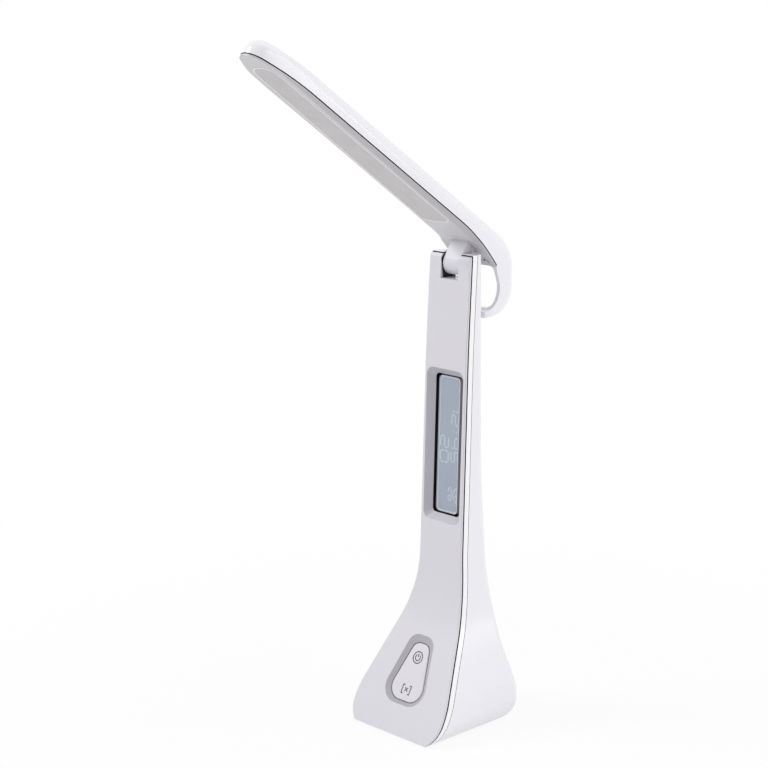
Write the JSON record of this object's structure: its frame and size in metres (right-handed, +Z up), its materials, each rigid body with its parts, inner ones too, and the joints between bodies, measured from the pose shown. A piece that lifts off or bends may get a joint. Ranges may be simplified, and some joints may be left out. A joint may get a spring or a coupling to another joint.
{
  "type": "led table lamp",
  "caption": "Folding LED table lamp: waisted white stand with a narrow display and rocker key, hinged flat light head that ends in a hook behind the stand.",
  "frame": {"origin": "on the table under the stand, in the middle plane, near the centre of the rubber pad", "axes": "+Z up, the display and the light head face -Y, +X along the hinge axis"},
  "size_m": [0.068, 0.181, 0.3829],
  "materials": {
    "satin_panel": "satin moulded plastic",
    "gloss_shell": "polished moulded plastic",
    "base_plastic": "fine matt texture",
    "rubber_pad": "matt",
    "steel": "plain",
    "screw_steel": "zinc plated",
    "battery_wrap": "shrink film",
    "circuit_board": "solder mask",
    "socket_metal": "plated",
    "clear_window": "clear",
    "lcd": "polarising film",
    "black_plastic": "fine matt texture",
    "key_plastic": "satin moulded plastic",
    "white_inner": "plain",
    "satin_cover": "satin moulded plastic",
    "diffuser": "milky, fine ribbed",
    "lamp_board": "white solder mask",
    "led_phosphor": "phosphor gel"
  },
  "bodies": {
    "stand": {"front_panel": "satin_panel", "front_frame": "gloss_shell", "rear_shell": "gloss_shell", "base_plate": "base_plastic", "base_pad": "rubber_pad", "ballast_plate": "steel", "base_screws": "screw_steel", "battery": "battery_wrap", "charge_board": "circuit_board", "charge_socket": "socket_metal", "display_lens": "clear_window", "lcd_cell": "lcd", "display_tray": "black_plastic", "main_board": "circuit_board", "board_screws": "screw_steel", "control_chip": "black_plastic", "buzzer": "black_plastic", "key_pivot_pin": "screw_steel", "key_bracket": "white_inner", "bracket_screws": "screw_steel", "key_board": "circuit_board", "tact_switches": "black_plastic", "hinge_pin": "screw_steel", "friction_washers": "screw_steel"},
    "head": {"head_top_shell": "gloss_shell", "head_lower_cover": "satin_cover", "hinge_tongue": "satin_cover", "tongue_screws": "screw_steel", "cover_screws": "screw_steel", "light_diffuser": "diffuser", "light_reflector": "white_inner", "led_board": "lamp_board", "led_chips": "led_phosphor"},
    "key": {"key_cap": "key_plastic"},
    "stem_upper": {"switch_stem_upper": "black_plastic"},
    "stem_lower": {"switch_stem_lower": "black_plastic"}
  },
  "joints": [
    {"name": "head_tilt", "type": "hinge", "parent": "stand", "child": "head", "pos_m": [0, 0.0197, 0.259], "axis": [1, 0, 0], "range_deg": [0, 121.5]},
    {"name": "key_rock", "type": "hinge", "parent": "stand", "child": "key", "pos_m": [0, -0.01142, 0.02916], "axis": [1, 0, 0], "range_deg": [-1.6, 1.6], "stiffness_Nm_per_rad": 1.2},
    {"name": "stem_upper_press", "type": "slide", "parent": "stand", "child": "stem_upper", "axis": [0, -0.874, 0.486], "range_m": [-0.00034, 0.00034]},
    {"name": "stem_lower_press", "type": "slide", "parent": "stand", "child": "stem_lower", "axis": [0, -0.874, 0.486], "range_m": [-0.00034, 0.00034]}
  ],
  "couplings": [
    {"joint": "stem_upper_press", "follows": "key_rock", "m_per_rad": 0.0115},
    {"joint": "stem_lower_press", "follows": "key_rock", "m_per_rad": -0.0115}
  ]
}
